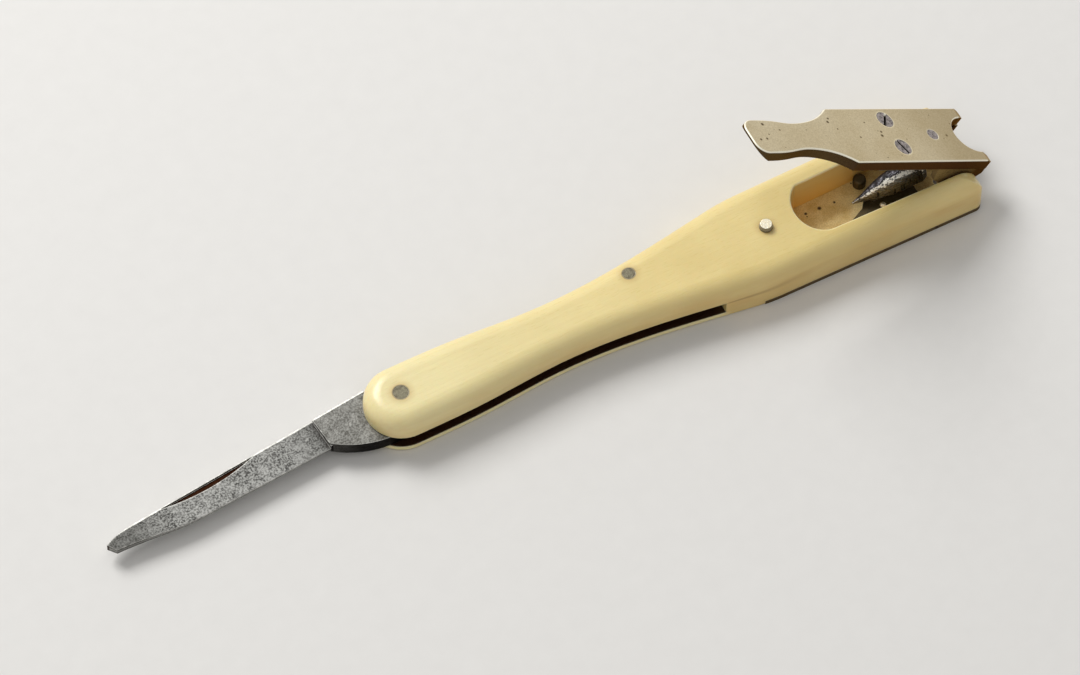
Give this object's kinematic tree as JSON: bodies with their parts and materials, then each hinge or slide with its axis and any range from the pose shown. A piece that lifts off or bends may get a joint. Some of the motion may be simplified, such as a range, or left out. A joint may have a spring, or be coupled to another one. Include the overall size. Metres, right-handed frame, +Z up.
{
  "type": "pocket quill cutter",
  "caption": "Pocket quill cutter: slotted ivory handle with a folding knife at one end and a hinged nib-cutting lever over a steel former at the other.",
  "frame": {"origin": "centre of the handle's flat underside", "axes": "+X along the handle to the hinge end, +Y to the back spring's side, +Z up"},
  "size_m": [0.1393, 0.0162, 0.0328],
  "materials": {
    "ivory": "polished, a little yellowed",
    "nickel_silver": "satin, with small pits",
    "plate_brass": "dull, speckled",
    "blade_steel": "mottled grey patina",
    "die_steel": "pitted, partly polished",
    "dark_steel": "dark oxide",
    "screw_steel": "filed",
    "bright_nickel": "polished"
  },
  "bodies": {
    "handle": {"handle": "ivory", "base_plate": "plate_brass", "plate_screws": "screw_steel", "bed": "dark_steel", "bed_pins": "bright_nickel", "well_stud": "dark_steel", "former": "die_steel", "former_screws": "screw_steel", "hinge_frame": "plate_brass", "frame_rivets": "screw_steel", "hinge_pins": "screw_steel", "rest_stud": "bright_nickel", "blade_pin": "screw_steel", "spring_pin": "screw_steel", "back_spring": "blade_steel"},
    "lever": {"lever": "nickel_silver", "cutter_screws": "screw_steel", "slitter_rivet": "screw_steel", "cutter_block": "die_steel", "slitter": "die_steel"},
    "blade": {"knife_blade": "blade_steel"}
  },
  "joints": [
    {"name": "lever", "type": "hinge", "parent": "handle", "child": "lever", "pos_m": [0.0443, 0, 0.0039], "axis": [0, 1, 0], "range_deg": [-35, 35]},
    {"name": "blade_fold", "type": "hinge", "parent": "handle", "child": "blade", "pos_m": [-0.0424, 0, 0.00222], "axis": [0, 0, 1], "range_deg": [0, 172]}
  ]
}
